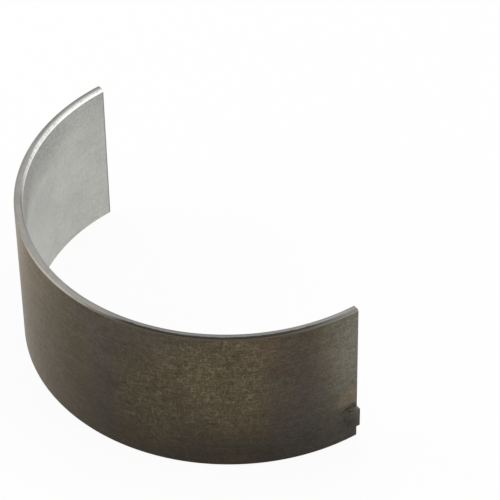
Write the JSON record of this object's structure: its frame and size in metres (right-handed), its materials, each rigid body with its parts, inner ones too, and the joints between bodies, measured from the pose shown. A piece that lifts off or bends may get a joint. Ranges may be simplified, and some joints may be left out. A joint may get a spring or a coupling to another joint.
{
  "type": "engine bearing shell",
  "caption": "Thin half-round shell for a split engine bearing, with chamfered end faces and a locating tang and notch by its parting face; it lines the housing round a turning journal.",
  "frame": {"origin": "middle of the part's box in plan, on the plane of the lower end face that it stands on", "axes": "+Z is parallel to the bore's axis and points up from the lower end face, -Y points to the crown of the half round, and +X points to the end that has the locating tang"},
  "size_m": [0.0706, 0.0336, 0.028],
  "materials": {
    "bimetal_strip": "dark brown steel back, satin grey lining and bright machined edges"
  },
  "bodies": {
    "root": {"bearing_shell": "bimetal_strip"}
  },
  "joints": []
}
